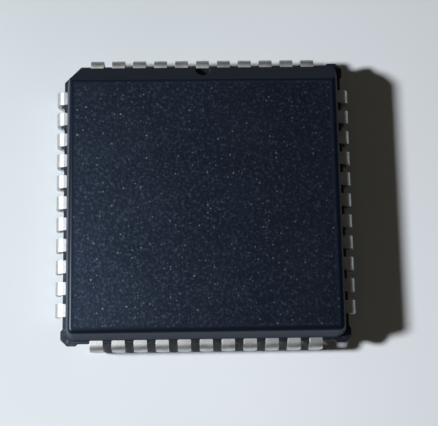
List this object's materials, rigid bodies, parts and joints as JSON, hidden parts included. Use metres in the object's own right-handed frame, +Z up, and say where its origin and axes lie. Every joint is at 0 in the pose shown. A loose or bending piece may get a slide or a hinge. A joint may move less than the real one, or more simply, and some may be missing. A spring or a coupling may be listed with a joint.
{
  "type": "plcc chip",
  "caption": "Square plastic leaded chip carrier: a dark moulded body with a bevelled, notched lead-one side and rows of J-shaped tin-plated leads tucked under all four sides.",
  "frame": {"origin": "centre of the package on the seating plane, where the feet of the leads touch the board", "axes": "+Z up through the top face, +Y towards the bevelled side with lead 1 in its middle, +X to the right"},
  "size_m": [0.0176, 0.0176, 0.0044],
  "materials": {
    "epoxy_moulding": "fine-grained matt epoxy, smoother on the bevel and the walls",
    "tin_plated_leads": "satin tin plate over copper alloy",
    "copper_alloy": "bare rolled copper alloy",
    "die_adhesive": "matt silver-filled adhesive",
    "silicon": "polished, opaque",
    "gold_wire": "bright drawn gold"
  },
  "bodies": {
    "root": {"moulded_body": "epoxy_moulding", "die_paddle": "copper_alloy", "die_attach": "die_adhesive", "silicon_die": "silicon", "bond_wires": "gold_wire", "lead_01": "tin_plated_leads", "lead_02": "tin_plated_leads", "lead_03": "tin_plated_leads", "lead_04": "tin_plated_leads", "lead_05": "tin_plated_leads", "lead_06": "tin_plated_leads", "lead_07": "tin_plated_leads", "lead_08": "tin_plated_leads", "lead_09": "tin_plated_leads", "lead_10": "tin_plated_leads", "lead_11": "tin_plated_leads", "lead_12": "tin_plated_leads", "lead_13": "tin_plated_leads", "lead_14": "tin_plated_leads", "lead_15": "tin_plated_leads", "lead_16": "tin_plated_leads", "lead_17": "tin_plated_leads", "lead_18": "tin_plated_leads", "lead_19": "tin_plated_leads", "lead_20": "tin_plated_leads", "lead_21": "tin_plated_leads", "lead_22": "tin_plated_leads", "lead_23": "tin_plated_leads", "lead_24": "tin_plated_leads", "lead_25": "tin_plated_leads", "lead_26": "tin_plated_leads", "lead_27": "tin_plated_leads", "lead_28": "tin_plated_leads", "lead_29": "tin_plated_leads", "lead_30": "tin_plated_leads", "lead_31": "tin_plated_leads", "lead_32": "tin_plated_leads", "lead_33": "tin_plated_leads", "lead_34": "tin_plated_leads", "lead_35": "tin_plated_leads", "lead_36": "tin_plated_leads", "lead_37": "tin_plated_leads", "lead_38": "tin_plated_leads", "lead_39": "tin_plated_leads", "lead_40": "tin_plated_leads", "lead_41": "tin_plated_leads", "lead_42": "tin_plated_leads", "lead_43": "tin_plated_leads", "lead_44": "tin_plated_leads"}
  },
  "joints": []
}
